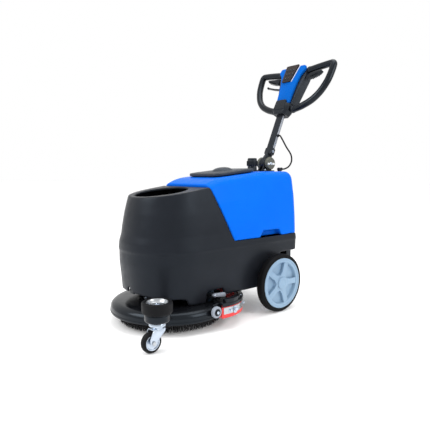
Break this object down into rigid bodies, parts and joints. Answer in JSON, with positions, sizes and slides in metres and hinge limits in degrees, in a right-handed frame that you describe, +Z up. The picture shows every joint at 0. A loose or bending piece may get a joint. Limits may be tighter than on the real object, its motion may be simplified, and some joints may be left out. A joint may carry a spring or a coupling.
{
  "type": "walk-behind floor scrubber",
  "caption": "Compact walk-behind floor scrubber dryer with a brush deck, black lower tank, blue upper tank, curved squeegee and folding handle.",
  "frame": {"origin": "middle of the base of the outer box, on the floor", "axes": "+Z up, -Y towards the front (brush deck), +X towards the machine's left side, where the caster is"},
  "size_m": [0.605, 1.1237, 1.1457],
  "materials": {
    "charcoal_plastic": "satin moulded, fine grain",
    "blue_plastic": "satin gloss moulded",
    "black_plastic": "glossy moulded",
    "black_rubber": "matte",
    "tyre_rubber": "matte",
    "black_metal": "powder coat, satin",
    "hub_plastic": "satin",
    "plain_steel": "brushed",
    "zinc_steel": "bright zinc plate",
    "red_blade": "satin",
    "red_ball": "gloss",
    "grey_plastic": "satin",
    "olive_plastic": "matte",
    "dark_case": "matte"
  },
  "bodies": {
    "chassis": {"chassis_frame": "black_metal", "rear_axle": "plain_steel", "solution_tank": "charcoal_plastic", "battery_left": "dark_case", "battery_right": "dark_case", "vacuum_motor": "black_metal", "brush_deck": "black_plastic", "brush_motor": "black_metal", "caster_arm": "black_plastic", "bumper_bolt": "zinc_steel", "lever_bracket": "black_metal"},
    "wheel_left": {"rear_tyre_left": "tyre_rubber", "rear_hub_left": "hub_plastic", "hub_cap_left": "hub_plastic"},
    "wheel_right": {"rear_tyre_right": "tyre_rubber", "rear_hub_right": "hub_plastic", "hub_cap_right": "hub_plastic"},
    "brush": {"drive_plate": "plain_steel", "brush_block": "dark_case", "bristle_ring": "black_rubber"},
    "bumper_roller": {"bumper_tyre": "black_rubber", "bumper_hub": "plain_steel"},
    "caster_swivel": {"caster_fork": "zinc_steel", "caster_axle": "plain_steel"},
    "caster_wheel": {"caster_tyre": "black_rubber", "caster_hub": "zinc_steel"},
    "squeegee": {"squeegee_body": "black_plastic", "front_blade": "red_blade", "rear_blade": "red_blade", "blade_strap": "plain_steel"},
    "roller_left": {"squeegee_roller_left": "grey_plastic"},
    "roller_right": {"squeegee_roller_right": "grey_plastic"},
    "lock_lever": {"squeegee_lever": "grey_plastic"},
    "upper_tank": {"recovery_tank": "blue_plastic", "port_collar": "black_plastic", "pivot_bracket": "black_metal", "pivot_bolt": "plain_steel", "cable_socket": "black_plastic", "control_cable": "black_rubber"},
    "lid": {"tank_lid": "charcoal_plastic", "lid_dome": "charcoal_plastic", "lid_seal": "black_rubber", "float_cage": "black_plastic"},
    "float": {"float_ball": "red_ball"},
    "port": {"port_cap": "black_plastic"},
    "knob_left": {"clamp_knob_left": "olive_plastic"},
    "knob_right": {"clamp_knob_right": "olive_plastic"},
    "handle": {"handle_column": "black_metal", "column_collar": "black_plastic", "console_housing": "black_plastic", "console_cover": "blue_plastic", "control_keypad": "black_plastic", "handle_loop_left": "black_plastic", "handle_loop_right": "black_plastic", "cable_gland": "black_plastic"},
    "trigger_l": {"trigger_left": "black_plastic"},
    "trigger_r": {"trigger_right": "black_plastic"},
    "lift": {"lift_lever": "black_plastic"}
  },
  "joints": [
    {"name": "wheel_spin_left", "type": "hinge", "parent": "chassis", "child": "wheel_left", "pos_m": [0.1885, 0.16163, 0.128], "axis": [1, 0, 0], "continuous": true},
    {"name": "wheel_spin_right", "type": "hinge", "parent": "chassis", "child": "wheel_right", "pos_m": [-0.2465, 0.16163, 0.128], "axis": [1, 0, 0], "continuous": true},
    {"name": "brush_spin", "type": "hinge", "parent": "chassis", "child": "brush", "pos_m": [-0.029, -0.25837, 0.003], "axis": [0, 0, 1], "continuous": true},
    {"name": "bumper_spin", "type": "hinge", "parent": "chassis", "child": "bumper_roller", "pos_m": [0.249, -0.49837, 0.1353], "axis": [0, 0, 1], "continuous": true},
    {"name": "caster_swivel_turn", "type": "hinge", "parent": "chassis", "child": "caster_swivel", "pos_m": [0.249, -0.49837, 0.08], "axis": [0, 0, 1], "continuous": true},
    {"name": "caster_spin", "type": "hinge", "parent": "caster_swivel", "child": "caster_wheel", "pos_m": [0.249, -0.52437, 0.0375], "axis": [1, 0, 0], "continuous": true},
    {"name": "squeegee_drop", "type": "slide", "parent": "chassis", "child": "squeegee", "axis": [0, 0, -1], "range_m": [0, 0.045]},
    {"name": "roller_spin_left", "type": "hinge", "parent": "squeegee", "child": "roller_left", "pos_m": [0.2335, -0.22237, 0.0765], "axis": [1, 0, 0], "continuous": true},
    {"name": "roller_spin_right", "type": "hinge", "parent": "squeegee", "child": "roller_right", "pos_m": [-0.2915, -0.22237, 0.0765], "axis": [1, 0, 0], "continuous": true},
    {"name": "lock_lever_turn", "type": "hinge", "parent": "chassis", "child": "lock_lever", "pos_m": [0.1743, -0.19137, 0.1265], "axis": [1, 0, 0], "range_deg": [0, 80]},
    {"name": "tank_tilt", "type": "hinge", "parent": "chassis", "child": "upper_tank", "pos_m": [-0.029, 0.34463, 0.33], "axis": [-1, 0, 0], "range_deg": [0, 50]},
    {"name": "lid_open", "type": "hinge", "parent": "upper_tank", "child": "lid", "pos_m": [-0.029, 0.14163, 0.61806], "axis": [-1, 0, 0], "range_deg": [0, 95]},
    {"name": "float_travel", "type": "slide", "parent": "lid", "child": "float", "axis": [0, 0, 1], "range_m": [0, 0.024]},
    {"name": "port_unscrew", "type": "hinge", "parent": "upper_tank", "child": "port", "pos_m": [-0.029, 0.21863, 0.617], "axis": [0, 0, 1], "continuous": true},
    {"name": "knob_turn_left", "type": "hinge", "parent": "upper_tank", "child": "knob_left", "pos_m": [-0.029, 0.31263, 0.655], "axis": [1, 0, 0], "continuous": true},
    {"name": "knob_turn_right", "type": "hinge", "parent": "upper_tank", "child": "knob_right", "pos_m": [-0.029, 0.31263, 0.655], "axis": [1, 0, 0], "continuous": true},
    {"name": "handle_fold", "type": "hinge", "parent": "upper_tank", "child": "handle", "pos_m": [-0.029, 0.31263, 0.655], "axis": [-1, 0, 0], "range_deg": [-75, 45], "deforming": ["control_cable"]},
    {"name": "trigger_squeeze_left", "type": "hinge", "parent": "handle", "child": "trigger_l", "pos_m": [0.06, 0.50813, 1.08249], "axis": [0, -0.9164, 0.4003], "range_deg": [0, 5], "stiffness_Nm_per_rad": 2, "springref_deg": -5.73},
    {"name": "trigger_squeeze_right", "type": "hinge", "parent": "handle", "child": "trigger_r", "pos_m": [-0.118, 0.50813, 1.08249], "axis": [0, 0.9164, -0.4003], "range_deg": [0, 5], "stiffness_Nm_per_rad": 2, "springref_deg": -5.73},
    {"name": "lift_lever_turn", "type": "hinge", "parent": "handle", "child": "lift", "pos_m": [-0.112, 0.50311, 1.04103], "axis": [0, -0.9164, 0.4003], "range_deg": [0, 20.1]}
  ],
  "couplings": [
    {"joint": "lift_lever_turn", "follows": "squeegee_drop", "rad_per_m": 7.757}
  ]
}
